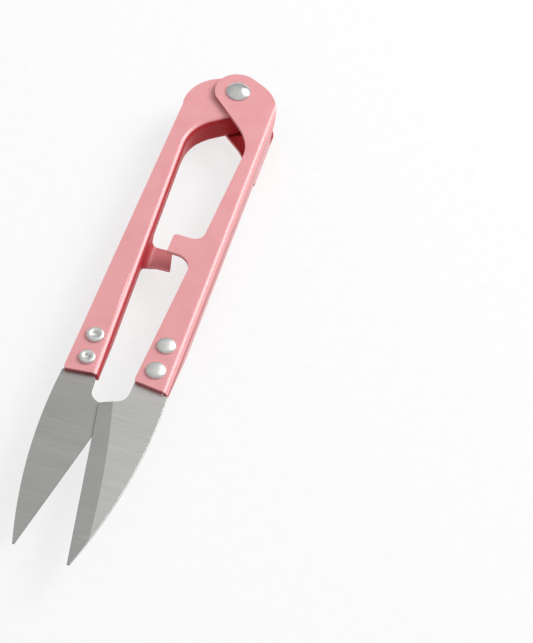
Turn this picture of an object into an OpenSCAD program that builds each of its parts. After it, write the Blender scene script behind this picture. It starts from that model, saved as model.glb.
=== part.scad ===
// Thread snips: two folded sheet-steel handles on one pivot, each with a riveted blade,
// held open by a torsion spring that sits between the cheeks of the handles.
// Origin: pivot axis, on the flat end of the pivot rivet's tail. Blades point along -Y.

/* [Handles] */
// Thickness of the handle and blade sheet
sheet_t = 0.7; // [0.65:0.05:0.75]
// Inside radius of every fold
fold_r = 0.4; // [0.3:0.05:0.5]
// Pivot to the blade end of a handle, along the middle line
handle_len = 66.9; // [66.5:0.1:67.2]
// Radius of the round ear about the pivot
ear_r = 4.15; // [4:0.05:4.3]
// Slope of the edge that leaves the ear
ear_slope = 42; // [40:1:44]
// Slope of the left handle's folded edge, which runs off its ear
left_slope = 37; // [36:0.5:38]
// Half width over the right handle's web, at the pivot
web_x = 7.8; // [7.7:0.1:8]
// Outward lean of the right handle's web
web_lean = 1; // [0.8:0.1:1.1]
// Half width of the window between the handles, at its widest
window_x = 5.2; // [5.1:0.1:5.3]
// Inward lean of the handles' inner edges
inner_lean = 2.46; // [2.4:0.02:2.5]
// Radius of the window's upper corners
window_r = 8; // [7:0.5:9]
// Tilt of the handles' blade ends
end_tilt = 6.5; // [5:0.5:8]

/* [Tabs] */
// Width of each guide tab, along its handle
tab_w = 4; // [3.6:0.1:4.2]
// Pivot to the middle of the right tab
right_tab_y = 36.85; // [36.5:0.05:37.5]
// Pivot to the middle of the left tab
left_tab_y = 37.6; // [37.2:0.05:38]
// How far the tabs' corners reach past the middle line
tab_reach = 0.5; // [0.3:0.1:0.8]

/* [Pivot] */
// Height of the pivot rivet's tail, which the snips lie on
tail_h = 0.5; // [0.4:0.1:0.7]
// Running gap between sheets that slide on each other
slide_gap = 0.05; // [0.03:0.01:0.08]
// Free height between the left handle's cheeks
cavity_h = 4; // [3.9:0.05:4.1]
// Radius of the pivot rivet's shank
pivot_r = 1.25; // [1.15:0.05:1.35]
// Radius of the pivot rivet's domed head
pivot_head_r = 2.2; // [2:0.05:2.4]
// Height of the pivot rivet's domed head
pivot_head_h = 1.05; // [0.8:0.05:1.3]

/* [Blades] */
// Pivot to the tip of the right blade
blade_reach = 103.2; // [103:0.1:103.6]
// How much shorter the left blade is ground
left_trim = 1; // [0.8:0.1:1.2]
// Largest half width over the blades' backs
blade_x = 9.2; // [9.1:0.1:9.3]
// Radius of the blades' curved backs
back_r = 105; // [100:1:110]
// Slant of the right cutting edge at rest
right_slant = 10; // [9.8:0.1:10.2]
// Slant of the left cutting edge at rest
left_slant = 11.1; // [10.9:0.1:11.3]
// Length of tang hidden under a handle
tang_len = 11.3; // [11:0.1:11.5]
// Slope of the ground bevel
bevel_deg = 9; // [7:0.5:10]

/* [Blade rivets] */
// Radius of each blade rivet's shank
rivet_r = 0.8; // [0.7:0.05:0.9]
// Radius of the domed heads
rivet_head_r = 1.7; // [1.6:0.05:1.75]
// Radius of the rolled tails
rivet_tail_r = 1.5; // [1.4:0.05:1.6]

/* [Spring] */
// Wire diameter
wire_d = 0.7; // [0.6:0.05:0.7]
// Mean radius of the coil
coil_r = 2.5; // [2.4:0.05:2.6]

/* [Hidden] */
$fn = 96;

pink = [0.91, 0.63, 0.65];
steel = [0.70, 0.70, 0.68];
bright = [0.86, 0.86, 0.85];
wire_grey = [0.55, 0.56, 0.58];

// Height of each sheet's lower face, from the rivet tail up
right_back_z = tail_h;
left_back_z = right_back_z + sheet_t + slide_gap;
left_front_z = left_back_z + sheet_t + cavity_h;
right_front_z = left_front_z + sheet_t + slide_gap;
top_z = right_front_z + sheet_t;
mid_z = (right_back_z + top_z) / 2;
right_blade_z = right_front_z - sheet_t;
left_blade_z = left_front_z - sheet_t;

fold_ro = fold_r + sheet_t; // outside radius of a fold
wide = 16;                  // wider than any sheet of a handle
chords = 10;                // chords in a rounded corner
step = 0.02;                // how much deeper each stretch of a sweep is set than the next one
fixed_fit = 0.02;           // radial gap round a rivet set in its own handle
turning_fit = 0.05;         // radial gap round the pivot in the turning handle

// Lengths along the handles, below the pivot
cheek_len = 14.6;    // the right back cheek
web_top = 2.5;       // where the right web starts, past the shoulder
web_deep_to = 56;    // where the right web starts to get shallower
wall_deep_to = 9;    // the left back cheek, past which the left wall gets shallower
wall_even_from = 16.5; // where the left wall is shallow, all the way to its end
tang_y = handle_len - tang_len;
widest_y = 73;       // where the blades are widest
heel_x = -1.2;       // the right blade's heel, where its cutting edge starts
heel_y = 72;
bevel_w = 2.35;      // width of the bevel at the heel
left_in = 0.1;       // how much less far the left heel reaches across
left_drop = 0.5;     // how much further down the left heel is

// Heights of the webs' lower edges
web_low_z = right_back_z + 2.3;
web_end_z = right_blade_z - 0.3;
wall_low_z = left_front_z - 2.2;
tab_z = left_front_z - 3.45; // underside of the left tab

// Places of the blade rivets
right_rivets = [[5.72, -58.15], [5.7, -63.55]];
left_rivets = [[-6.1, -59.5], [-5.85, -64.3]];

// ---- outline helpers ----
function unit(v) = v / norm(v);
function polar(r, a) = [r * cos(a), r * sin(a)];
function heading(v) = atan2(v[1], v[0]);
function turn(a) = a > 180 ? a - 360 : a < -180 ? a + 360 : a;
function xy(p) = [p[0], p[1]];
function arc(c, r, a0, a1, n) = [for (i = [0:n]) c + polar(r, a0 + (a1 - a0) * i / n)];
function sharp(p) = [for (q = p) [q[0], q[1], 0]];

// The arc of radius r that rounds the corner at b, between a and c
function corner(a, b, c, r) =
    let (u = unit(a - b), v = unit(c - b), half = acos(u * v) / 2,
         m = b + unit(u + v) * r / sin(half),
         a0 = heading(b + u * r / tan(half) - m),
         a1 = heading(b + v * r / tan(half) - m))
    arc(m, r, a0, a0 + turn(a1 - a0), chords);

// An outline from corners [x, y, radius]; a radius of 0 keeps a corner sharp
function rounded(p) = [
    for (i = [0:len(p) - 1])
        let (a = p[(i + len(p) - 1) % len(p)], b = p[i], c = p[(i + 1) % len(p)])
        each (b[2] > 0 ? corner(xy(a), xy(b), xy(c), b[2]) : [xy(b)])
];

// ---- lines that both handles share, drawn for the right one; the left one is mirrored ----
function inner_x(y) = window_x - (y - 15) * tan(inner_lean);
function web_at(y) = web_x + y * tan(web_lean);
function end_y(x) = -handle_len - (x - 5.9) * tan(end_tilt);

// The sloping edge off the ear and the inner edge cross at window_corner, which is rounded
out_of_ear = 270 - ear_slope;
slope_n = polar(1, out_of_ear);
slope_d = polar(1, -ear_slope);
inner_d = polar(1, -90 - inner_lean);
inner_start = [window_x, -15];
window_corner = inner_start + inner_d * (ear_r - slope_n * inner_start) / (slope_n * inner_d);
window_turn = 90 - ear_slope + inner_lean;
window_mid = window_corner - slope_d * window_r * tan(window_turn / 2) + slope_n * window_r;

// The left handle's window has the same round corner, but a flatter slope that runs off it
left_turn = 90 - left_slope + inner_lean;
left_n = polar(1, 270 - left_slope);
left_d = polar(1, -left_slope);
slope_end = window_mid - left_n * window_r;
left_corner = slope_end + left_d * window_r * tan(left_turn / 2);
ear_side = slope_end - left_d * 6.5;

// The ear's arc and the shoulder's, clockwise from the sloping edge to the outer side
function ear_and_shoulder(mid, r, last) =
    let (join = heading(mid) + acos((ear_r - r) / norm(mid)))
    concat(arc([0, 0], ear_r, out_of_ear, join, 36), arc(mid, r, join, last, 24));

right_top = ear_and_shoulder([0.45, -3.8], 7.4, 0);
left_top = ear_and_shoulder([0.95, -4.5], 7.65, -2);

right_front = rounded(concat(
    sharp(right_top),
    [[web_at(handle_len), end_y(web_at(handle_len)), 0.3],
     [inner_x(handle_len), end_y(inner_x(handle_len)), 0.6],
     [inner_x(right_tab_y + tab_w / 2), -right_tab_y - tab_w / 2, 2.8],
     [-tab_reach, -right_tab_y - tab_w / 2, 0.3],
     [-tab_reach, -right_tab_y + tab_w / 2, 0.6],
     [inner_x(right_tab_y - tab_w / 2), -right_tab_y + tab_w / 2, 1.9],
     [window_corner[0], window_corner[1], window_r]]));

// the back cheek is cut back a little from the window
back_corner = window_corner - 0.7 * slope_n;
right_back = rounded(concat(
    sharp(right_top),
    [[web_at(cheek_len), -cheek_len, 0],
     [inner_x(cheek_len), -cheek_len, 0.8],
     [back_corner[0], back_corner[1], window_r]]));

left_front = rounded(concat(
    sharp(left_top),
    [[8.45, -5.6, 1],
     [8.85, end_y(8.85) - 0.3, 0.5],
     [inner_x(handle_len), end_y(inner_x(handle_len)) - 0.3, 0],
     [left_corner[0], left_corner[1], window_r],
     [ear_side[0], ear_side[1], 1]]));

left_back = rounded(concat(
    sharp(arc([0, 0], ear_r, out_of_ear, 15, 30)),
    [[7.2, -5.6, 2],
     [6.9, -wall_deep_to, 1.5],
     [inner_x(wall_deep_to) - 2, -wall_deep_to, 0],
     [slope_end[0], slope_end[1], 0],
     [ear_side[0], ear_side[1], 1]]));

// ---- folded sheet, as a section that is swept along the folded edge ----
// q runs from the web's outer face into the sheet, then z up
function fold_arc(r, z, a0, a1) = arc([fold_ro, z], r, a0, a1, chords);

// Front sheet, web and back sheet
module channel_section(z0, z1) {
    polygon(concat(
        [[wide, z1]], fold_arc(fold_ro, z1 - fold_ro, 90, 180),
        fold_arc(fold_ro, z0 + fold_ro, 180, 270), [[wide, z0], [wide, z0 + sheet_t]],
        fold_arc(fold_r, z0 + fold_ro, 270, 180), fold_arc(fold_r, z1 - fold_ro, 180, 90),
        [[wide, z1 - sheet_t]]));
}

// Front sheet with a web that hangs down to height z0
module angle_section(z0, z1) {
    polygon(concat(
        [[wide, z1]], fold_arc(fold_ro, z1 - fold_ro, 90, 180), [[0, z0], [sheet_t, z0]],
        fold_arc(fold_r, z1 - fold_ro, 180, 90), [[wide, z1 - sheet_t]]));
}

// Sweeps a section down from point p, with the sheet on the side that faces angle a
module sweep_down(p, a, length) {
    translate([p[0], p[1], 0]) rotate([0, 0, a]) rotate([90, 0, 0]) linear_extrude(length) children();
}

module prism(outline, z0, z1) {
    translate([0, 0, z0]) linear_extrude(z1 - z0) polygon(outline);
}

// Removes what lies below a line of [distance below the pivot, height]
module trim_below(line) {
    last = line[len(line) - 1];
    first = line[0];
    translate([-wide, 0, 0]) rotate([90, 0, 90]) linear_extrude(2 * wide)
        polygon(concat([for (p = line) [-p[0], p[1]]], [[-last[0], -1], [-first[0], -1]]));
}

module holes(places, r) {
    for (p = places) translate([p[0], p[1], -1]) cylinder(r = r, h = top_z + 2);
}

module pivot_hole(fit) {
    translate([0, 0, -1]) cylinder(r = pivot_r + fit, h = top_z + 2);
}

// ---- handles ----
module right_handle() {
    color(pink) difference() {
        union() {
            intersection() {
                sweep_down([web_at(-6), 6], web_lean, 7 + cheek_len)
                    mirror([1, 0]) channel_section(right_back_z, top_z);
                union() {
                    prism(right_front, mid_z, top_z + 1);
                    prism(right_back, right_back_z - 1, mid_z);
                }
                translate([-wide, -cheek_len, 0]) cube([2 * wide, 2 * wide, top_z + 1]);
            }
            intersection() {
                sweep_down([web_x, 0], web_lean, handle_len + 5)
                    translate([-step, 0]) mirror([1, 0]) angle_section(web_low_z, top_z);
                prism(right_front, 0, top_z + 1);
                translate([-wide, -handle_len - 5, 0])
                    cube([2 * wide, handle_len + 5 - cheek_len, top_z + 1]);
            }
        }
        // the web starts below the shoulder, on a slant, and gets shallower towards the blade
        translate([fold_ro, 0, 0]) rotate([90, 0, 90]) linear_extrude(wide) polygon([
            [-web_top, right_back_z + 1.4], [-web_top - 2.8, right_back_z + 1.6],
            [-web_top - 3.8, right_back_z + 2.2], [-web_top - 0.4, right_front_z - 0.4],
            [-web_top, right_front_z - 0.4]]);
        translate([fold_ro, -web_top, right_back_z + sheet_t])
            cube([wide, wide, right_front_z - right_back_z - sheet_t]);
        trim_below([[web_deep_to, web_low_z], [handle_len, web_end_z], [handle_len + 5, web_end_z]]);
        pivot_hole(fixed_fit);
        holes(right_rivets, rivet_r + fixed_fit);
    }
}

// Section of the left tab: down the wall, then out under the other handle
module tab_section() {
    bend_r = 0.55;
    bend_z = tab_z + sheet_t + bend_r;
    polygon(concat(
        [[0, wall_low_z + 0.6]], arc([-bend_r, bend_z], bend_r, 0, -90, chords),
        [[-wide / 2, tab_z + sheet_t], [-wide / 2, tab_z]],
        arc([-bend_r, bend_z], bend_r + sheet_t, -90, 0, chords), [[sheet_t, wall_low_z + 0.6]]));
}

module left_tab() {
    top = left_tab_y - tab_w / 2;
    low = left_tab_y + tab_w / 2;
    side = rounded([
        [-top + 4, wall_low_z + 0.6, 0], [-top + 4, wall_low_z, 0], [-top, wall_low_z, 0.8],
        [-top, tab_z - 1, 0], [-low, tab_z - 1, 0], [-low, wall_low_z, 2.5],
        [-low - 4, wall_low_z, 0], [-low - 4, wall_low_z + 0.6, 0]]);
    plan = rounded([
        [wide / 2, -top + 6, 0], [wide / 2, -low - 6, 0], [-tab_reach, -low - 6, 0],
        [-tab_reach, -low, 0.01], [0.4, -top, 0.01], [0.4, -top + 6, 0]]);
    intersection() {
        sweep_down([window_x, -15], -inner_lean, 35) translate([step, 0]) tab_section();
        translate([-wide, 0, 0]) rotate([90, 0, 90]) linear_extrude(2 * wide) polygon(side);
        prism(plan, 0, top_z);
    }
}

// One sheet, folded back on itself round a wall that follows the window's edge
module left_handle() {
    z0 = left_back_z;
    z1 = left_front_z + sheet_t;
    cheek_top = z0 + sheet_t + 0.1;
    window_end = left_corner + inner_d * window_r * tan(left_turn / 2);
    lap = 0.3; // how far neighbouring stretches run into each other
    color(pink) mirror([1, 0, 0]) {
        difference() {
            intersection() {
                union() {
                    sweep_down(slope_end - left_d * (wide - lap), 90 - left_slope, wide)
                        translate([2 * step, 0]) channel_section(z0, z1);
                    translate([window_mid[0], window_mid[1], 0]) rotate([0, 0, -inner_lean])
                        rotate_extrude(angle = left_turn) translate([window_r + step, 0])
                        channel_section(z0, z1);
                    sweep_down(window_end - inner_d * lap, -inner_lean, handle_len)
                        translate([2 * step, 0]) angle_section(cheek_top, z1);
                }
                union() {
                    prism(left_front, cheek_top, z1 + 1);
                    prism(left_back, z0 - 1, cheek_top);
                }
            }
            // the wall starts past the ear, and gets shallower below the window's corner
            translate([slope_end[0], slope_end[1], z0 + sheet_t]) rotate([0, 0, 90 - left_slope])
                translate([-1, 5, 0]) cube([2, wide, z1 - z0 - 2 * sheet_t]);
            trim_below([[wall_deep_to, z0 - 0.1], [wall_deep_to + 0.6, z0 + 0.8], [12.8, z0 + 1.2],
                        [wall_even_from, wall_low_z], [58, wall_low_z],
                        [handle_len, wall_low_z + 1.1], [handle_len + 5, wall_low_z + 1.1]]);
            pivot_hole(turning_fit);
            holes([for (p = left_rivets) [-p[0], p[1]]], rivet_r + fixed_fit);
            // hole for the spring's hooked end
            translate([-spring_hook[0], spring_hook[1], 0]) cylinder(r = wire_d / 2 + 0.1, h = mid_z);
        }
        left_tab();
    }
}

// ---- blades ----
// tang: half widths [inner, outer] at the tang's top and at the handle's end
// neck: half width of the throat just past the handle
// in, drop: how far the heel is set in, and how far down it is, next to the right blade's
module blade_shape(tang, neck, slant, reach, in, drop) {
    neck_y = handle_len + 0.3; // the back widens and the throat starts just past the handle
    throat = [3.05, -heel_y - drop + 1.3];
    heel = [heel_x + in, -heel_y - drop];
    edge_end = heel + [tan(slant), -1] * (reach + heel[1]);
    back_mid = [blade_x - back_r, -widest_y];
    first = asin((widest_y - neck_y - 0.5) / back_r);
    last = asin((reach - widest_y) / back_r);
    linear_extrude(sheet_t) polygon(rounded(concat(
        [[tang[0][0], -tang_y, 0.8], [tang[0][1], -tang_y, 0.8],
         [tang[1][1], -neck_y, 0], [tang[1][1] + 0.3, -neck_y - 0.3, 0]],
        sharp(arc(back_mid, back_r, first, -last, 24)),
        [[edge_end[0], -reach, 0.12], [heel[0], heel[1], 0.45], [throat[0], throat[1], 2.4],
         [neck, -neck_y - 0.1, 0.5], [tang[1][0], -neck_y + 0.6, 0]])));
}

// The ground bevel, as the wedge that is taken off along the cutting edge
module bevel_cut(slant, in, drop) {
    bevel_top = [heel_x + in + bevel_w, -heel_y - drop + 0.5]; // inner end of the bevel
    translate([bevel_top[0], bevel_top[1], 0]) rotate([0, 0, slant + 1]) rotate([0, -bevel_deg, 0])
        translate([-wide / 2, -45, 0]) cube([wide / 2, 55, 3]);
}

module right_blade() {
    tang = [[inner_x(tang_y) + 0.1, web_at(tang_y) - fold_ro - fixed_fit],
            [inner_x(handle_len) + 0.1, web_at(handle_len) - fold_ro - fixed_fit]];
    color(steel) translate([0, 0, right_blade_z]) difference() {
        blade_shape(tang, tang[1][0], right_slant, blade_reach, 0, 0);
        translate([0, 0, sheet_t]) bevel_cut(right_slant, 0, 0);
        translate([0, 0, -1]) holes(right_rivets, rivet_r + fixed_fit);
    }
}

module left_blade() {
    tang = [[inner_x(tang_y) + fold_ro + 3 * fixed_fit, 8.6],
            [inner_x(handle_len) + fold_ro + 3 * fixed_fit, 8.7]];
    neck = inner_x(handle_len) + 0.36;
    color(steel) translate([0, 0, left_blade_z]) mirror([1, 0, 0]) difference() {
        blade_shape(tang, neck, left_slant, blade_reach - left_trim, left_in, left_drop);
        mirror([0, 0, 1]) bevel_cut(left_slant, left_in, left_drop);
        translate([0, 0, -1]) holes([for (p = left_rivets) [-p[0], p[1]]], rivet_r + fixed_fit);
    }
}

// ---- rivets ----
// Section of a dome of radius r and height h that rises from height z, rim first
function dome(r, h, z) =
    let (rim = 0.15, rise = h - rim, ball = (r * r + rise * rise) / (2 * rise),
         a = asin(r / ball))
    concat([[r, z]], [for (i = [0:12]) let (b = a * (1 - i / 12))
        [ball * sin(b), z + rim + rise - ball + ball * cos(b)]]);

module pivot_rivet() {
    color(bright) rotate_extrude() polygon(concat(
        [[0, 0], [1.75, 0], [2, 0.15], [2, tail_h], [pivot_r, tail_h], [pivot_r, top_z]],
        dome(pivot_head_r, pivot_head_h, top_z)));
}

// A semi-tubular rivet through a handle and its tang: dome on top, rolled tail below
module blade_rivet(head_r, tail_r) {
    grip = 2 * sheet_t;
    roll_h = 0.55;
    roll = tail_r * 0.28;
    dimple_r = tail_r * 0.45;
    rotate_extrude() polygon(concat(
        [[0, -0.1], [dimple_r * 0.6, -0.15]],
        [for (a = [180:-20:0]) [tail_r - roll + (roll + (a > 90 ? 0.25 : 0)) * cos(a),
                                 -roll_h + roll - roll * sin(a)]],
        [[tail_r, 0], [rivet_r, 0], [rivet_r, grip]], dome(head_r, 0.75, grip)));
}

module right_rivet(p, head_r) {
    color(bright) translate([p[0], p[1], right_blade_z]) blade_rivet(head_r, rivet_tail_r);
}

module left_rivet(p, tail_r) {
    color(bright) translate([p[0], p[1], left_front_z + sheet_t]) mirror([0, 0, 1])
        blade_rivet(rivet_head_r, tail_r);
}

module right_upper_rivet() { right_rivet(right_rivets[0], rivet_head_r - 0.04); }
module right_lower_rivet() { right_rivet(right_rivets[1], rivet_head_r + 0.04); }
module left_upper_rivet() { left_rivet(left_rivets[0], rivet_tail_r + 0.04); }
module left_lower_rivet() { left_rivet(left_rivets[1], rivet_tail_r - 0.08); }

// Tube round the shank that keeps the left handle's cheeks apart
module pivot_spacer() {
    gap = 0.03;
    color(bright) translate([0, 0, left_back_z + sheet_t + gap]) difference() {
        cylinder(r = pivot_r + 0.5, h = cavity_h - 2 * gap);
        translate([0, 0, -1]) cylinder(r = pivot_r + fixed_fit, h = cavity_h + 2);
    }
}

// ---- spring ----
// Left end hooks through the left back cheek; right end bears on the right web
spring_hook = [-5.1, -7.1];
spring_rest = [web_at(10) - sheet_t - wire_d / 2 - 0.03, -10];
spring_low_z = left_back_z + sheet_t + wire_d / 2 + 0.06;
spring_high_z = left_front_z - wire_d / 2 - 0.08;
right_touch = heading(spring_rest) + acos(coil_r / norm(spring_rest));
left_touch = heading(spring_hook) + 360 - acos(coil_r / norm(spring_hook)) + 720;

// Each station of the wire: [centre, direction across the wire]
function station(p, z, across) = [[p[0], p[1], z], [across[0], across[1], 0]];
coil_turn = left_touch - right_touch;
hook_r = 0.6;
leg_d = unit(spring_hook - polar(coil_r, left_touch));
wire_path = concat(
    [station(spring_rest, spring_high_z, polar(1, right_touch))],
    [for (i = [0:56]) let (k = i / 56, a = right_touch + coil_turn * k)
        station(polar(coil_r, a), spring_high_z + (spring_low_z - spring_high_z) * k, polar(1, a))],
    [for (b = [0:22.5:90]) station(spring_hook + leg_d * hook_r * (sin(b) - 1),
        spring_low_z - hook_r * (1 - cos(b)), polar(1, left_touch))],
    [station(spring_hook, left_back_z + 0.1, polar(1, left_touch))]);

module pivot_spring() {
    sides = 10;
    n = len(wire_path);
    function at(i) = wire_path[i][0];
    function along(i) = unit(at(min(i + 1, n - 1)) - at(max(i - 1, 0)));
    points = [for (i = [0:n - 1]) let (u = wire_path[i][1], v = cross(along(i), u))
        for (k = [0:sides - 1]) at(i) + (u * cos(360 * k / sides) + v * sin(360 * k / sides)) * wire_d / 2];
    walls = [for (i = [0:n - 2]) for (k = [0:sides - 1]) let (j = (k + 1) % sides)
        [i * sides + k, i * sides + j, (i + 1) * sides + j, (i + 1) * sides + k]];
    ends = [[for (k = [sides - 1:-1:0]) k], [for (k = [0:sides - 1]) (n - 1) * sides + k]];
    color(wire_grey) polyhedron(points, concat(walls, ends));
}

right_handle();
left_handle();
right_blade();
left_blade();
pivot_rivet();
pivot_spacer();
pivot_spring();
right_upper_rivet();
right_lower_rivet();
left_upper_rivet();
left_lower_rivet();
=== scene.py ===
"""Looks of the thread snips: enamelled folded-sheet handles, ground blades, rivets and a spring.

Lengths are in millimetres, as in the design, and become metres when a mesh is made.
Plan points have +X to the right and -Y towards the blade tips, with the pivot at (0, 0).
"""

import math

import bmesh
import bpy
import numpy as np
from mathutils import Matrix, Quaternion, Vector


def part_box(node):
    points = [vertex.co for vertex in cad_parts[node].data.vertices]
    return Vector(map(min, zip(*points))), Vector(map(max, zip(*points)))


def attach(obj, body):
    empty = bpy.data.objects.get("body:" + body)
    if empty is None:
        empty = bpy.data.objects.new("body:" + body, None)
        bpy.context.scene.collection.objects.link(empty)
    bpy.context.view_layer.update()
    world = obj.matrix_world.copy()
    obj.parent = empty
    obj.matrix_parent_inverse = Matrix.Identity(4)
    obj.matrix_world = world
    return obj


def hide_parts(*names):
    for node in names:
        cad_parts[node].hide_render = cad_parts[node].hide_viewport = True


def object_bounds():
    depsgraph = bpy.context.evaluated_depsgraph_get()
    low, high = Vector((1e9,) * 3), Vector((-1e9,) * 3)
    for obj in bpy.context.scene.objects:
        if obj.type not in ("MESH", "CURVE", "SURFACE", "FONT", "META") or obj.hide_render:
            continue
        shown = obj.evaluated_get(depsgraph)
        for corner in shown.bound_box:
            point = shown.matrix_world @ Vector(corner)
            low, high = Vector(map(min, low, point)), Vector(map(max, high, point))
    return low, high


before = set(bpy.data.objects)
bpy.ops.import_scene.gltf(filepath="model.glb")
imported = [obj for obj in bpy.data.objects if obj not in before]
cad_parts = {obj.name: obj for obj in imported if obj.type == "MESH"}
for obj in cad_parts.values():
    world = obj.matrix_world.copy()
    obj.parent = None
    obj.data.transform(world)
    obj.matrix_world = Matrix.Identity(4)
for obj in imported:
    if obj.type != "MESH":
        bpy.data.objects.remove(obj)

cad_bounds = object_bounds()
MM = 0.001


def low(node):
    """Lowest corner of a CAD node, in mm."""
    return [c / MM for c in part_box(node)[0]]


def high(node):
    """Highest corner of a CAD node, in mm."""
    return [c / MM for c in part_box(node)[1]]


# ---- driving dimensions, as in the design ----
SHEET = 0.7  # thickness of the handles and the blades
FOLD = 1.1  # outside radius of every fold
FOLD_STEPS = 10  # facets round a fold
EDGE = 0.13  # radius worn on the sheet's stamped edges

HANDLE_LEN = 66.9
EAR_R = 4.15
EAR_SLOPE = 42
LEFT_SLOPE = 37  # slope of the left handle's folded edge, off its ear
WEB_X = 7.8
WEB_LEAN = 1
WINDOW_X = 5.2
INNER_LEAN = 2.46
WINDOW_R = 8
END_TILT = 6.5

TAB_W = 4
RIGHT_TAB_Y = 36.85
LEFT_TAB_Y = 37.6
TAB_REACH = 0.5
TAB_BEND = 1.5  # inside radius where the left tab turns out from its wall
TAB_SPREAD = 2.5  # the bend tightens over this length of wall on each side of the tab

CHEEK_LEN = 14.6  # pivot to the end of the right back cheek
WEB_TOP = 2.5  # the right web starts this far below the pivot
WEB_SLANT = 3.8  # how much further down its lower edge starts
WEB_DEEP_TO = 56  # the right web gets shallower from here
WALL_FROM = 5  # the left wall starts this far up the slope from the window's corner
LEFT_CHEEK_LEN = 9  # past the left back cheek the wall gets shallower
WALL_EVEN_FROM = 16.5
WALL_EVEN_TO = 58  # past here the wall gets shallower again
WALL_RISE = 1.1  # how much shallower it is at the handle's end
RELIEF = 0.45  # width of the notch cut where a fold ends

# ---- heights, from the frame ----
RIGHT_TOP = high("right_handle")[2]
RIGHT_BACK = low("right_handle")[2]
LEFT_TOP = high("left_handle")[2]
LEFT_BACK = low("left_handle")[2]
RIGHT_BLADE_TOP = high("right_blade")[2]
LEFT_BLADE_TOP = high("left_blade")[2]
WEB_LOW = RIGHT_BACK + 2.3
WEB_END = RIGHT_BLADE_TOP - SHEET - 0.3
WALL_LOW = LEFT_TOP - SHEET - 2.2
WALL_EDGE = [(LEFT_CHEEK_LEN, LEFT_BACK), (LEFT_CHEEK_LEN + 0.6, LEFT_BACK + 0.8),
             (12.8, LEFT_BACK + 1.2), (WALL_EVEN_FROM, WALL_LOW)]  # the left wall's edge under the cheek
TAB_Z = LEFT_TOP - SHEET - 3.45  # underside of the left tab


# ---- plane geometry ----
def vec(x, y):
    return np.array([x, y], float)


def unit(v):
    return v / np.linalg.norm(v)


def polar(radius, degrees):
    a = math.radians(degrees)
    return vec(radius * math.cos(a), radius * math.sin(a))


def heading(v):
    return math.degrees(math.atan2(v[1], v[0]))


def tan(degrees):
    return math.tan(math.radians(degrees))


def arc(centre, radius, start, end, count):
    return [centre + polar(radius, a) for a in np.linspace(start, end, count + 1)]


def rounded(corners, facet=7):
    """The outline through (x, y, radius) corners, each a facet of so many degrees; 0 keeps one sharp."""
    outline = []
    for i, (x, y, radius) in enumerate(corners):
        b = vec(x, y)
        if radius == 0:
            outline.append(b)
            continue
        u = unit(vec(*corners[i - 1][:2]) - b)
        v = unit(vec(*corners[(i + 1) % len(corners)][:2]) - b)
        half = math.acos(float(np.dot(u, v))) / 2
        centre = b + unit(u + v) * radius / math.sin(half)
        start = heading(b + u * radius / math.tan(half) - centre)
        end = heading(b + v * radius / math.tan(half) - centre)
        turn = (end - start + 180) % 360 - 180
        outline += arc(centre, radius, start, start + turn, max(2, round(abs(turn) / facet)))
    return outline


def sharp(points):
    return [(p[0], p[1], 0) for p in points]


# ---- lines that both handles share; the left handle is the mirror image ----
def inner_x(y):
    """Half width of the gap between the handles, y below the pivot."""
    return WINDOW_X - (y - 15) * tan(INNER_LEAN)


def web_at(y):
    return WEB_X + y * tan(WEB_LEAN)


def end_y(x):
    return -HANDLE_LEN - (x - 5.9) * tan(END_TILT)


SLOPE_N = polar(1, 270 - EAR_SLOPE)
SLOPE_D = polar(1, -EAR_SLOPE)
INNER_D = polar(1, -90 - INNER_LEAN)
INNER_START = vec(WINDOW_X, -15)
WINDOW_CORNER = INNER_START + INNER_D * (EAR_R - SLOPE_N @ INNER_START) / (SLOPE_N @ INNER_D)
WINDOW_TURN = 90 - EAR_SLOPE + INNER_LEAN
WINDOW_END = WINDOW_CORNER + INNER_D * WINDOW_R * tan(WINDOW_TURN / 2)
WINDOW_MID = WINDOW_CORNER - SLOPE_D * WINDOW_R * tan(WINDOW_TURN / 2) + SLOPE_N * WINDOW_R
LEFT_N = polar(1, 270 - LEFT_SLOPE)
LEFT_D = polar(1, -LEFT_SLOPE)
LEFT_END = WINDOW_MID - LEFT_N * WINDOW_R  # where the left slope runs into the round corner


def ear_and_shoulder(centre, radius, last):
    """The ear's arc and the shoulder's, from the sloping edge round to the outer side."""
    join = heading(centre) + math.degrees(math.acos((EAR_R - radius) / np.linalg.norm(centre)))
    ear = arc(vec(0, 0), EAR_R, 270 - EAR_SLOPE, join, 40)
    return ear + arc(centre, radius, join, last, 28)[1:]


# ---- mesh helpers ----
def new_object(name, bm):
    """A smooth-shaded object from a bmesh in mm."""
    bmesh.ops.scale(bm, vec=(MM, MM, MM), verts=bm.verts)
    mesh = bpy.data.meshes.new(name)
    bm.to_mesh(mesh)
    bm.free()
    obj = bpy.data.objects.new(name, mesh)
    bpy.context.scene.collection.objects.link(obj)
    mesh.polygons.foreach_set("use_smooth", [True] * len(mesh.polygons))
    return obj


def apply_modifiers(obj):
    evaluated = obj.evaluated_get(bpy.context.evaluated_depsgraph_get())
    mesh = bpy.data.meshes.new_from_object(evaluated)
    obj.modifiers.clear()
    obj.data = mesh


def soften_edges(obj, radius, segments=3, angle=40, keep_sharp=False):
    """Rounds every edge sharper than the angle, and lets the flat faces keep their normals."""
    bevel = obj.modifiers.new("edge", "BEVEL")
    bevel.width = radius * MM
    bevel.segments = segments
    bevel.limit_method = "ANGLE"
    bevel.angle_limit = math.radians(angle)
    bevel.use_clamp_overlap = True
    bevel.miter_outer = "MITER_ARC"
    normals = obj.modifiers.new("normals", "WEIGHTED_NORMAL")
    normals.keep_sharp = keep_sharp
    normals.weight = 80


def fill(bm, points, place):
    """One face through the points, each put in space by place(point)."""
    return bm.faces.new([bm.verts.new(place(p)) for p in points])


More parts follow.
